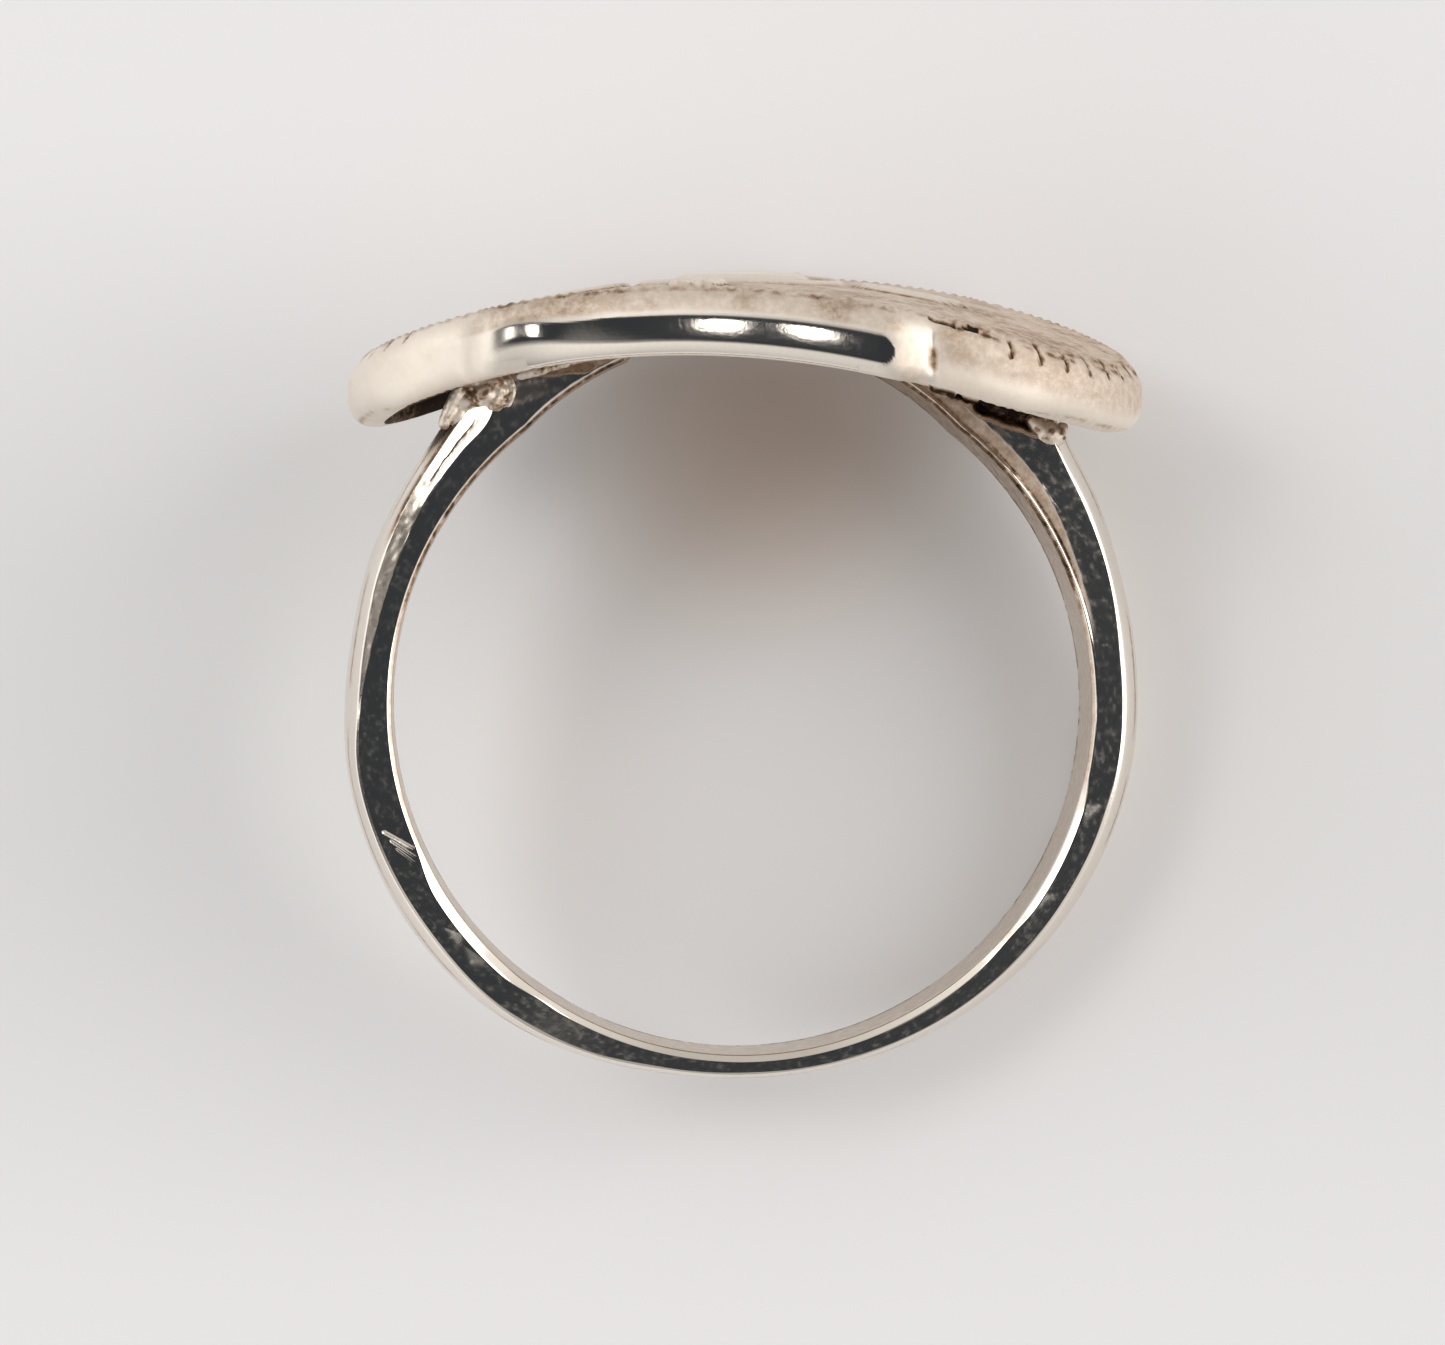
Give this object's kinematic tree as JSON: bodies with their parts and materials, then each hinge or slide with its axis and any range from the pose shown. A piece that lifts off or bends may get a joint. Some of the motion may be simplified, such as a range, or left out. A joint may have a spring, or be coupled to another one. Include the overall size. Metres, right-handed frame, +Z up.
{
  "type": "finger ring with a four-lobed plaque",
  "caption": "Silver finger ring: a D-section band whose shoulders carry a domed, hollow-backed plaque with round end lobes and low stamped relief.",
  "frame": {"origin": "bottom centre of the bounding box, on the surface that the ring lies on", "axes": "+Z up from that surface, +Y from the foot of the band towards the plaque, as the ring lies on its side"},
  "size_m": [0.02, 0.0208, 0.0109],
  "materials": {
    "silver": "worn polished silver, dark in the recesses"
  },
  "bodies": {
    "root": {"ring": "silver"}
  },
  "joints": []
}
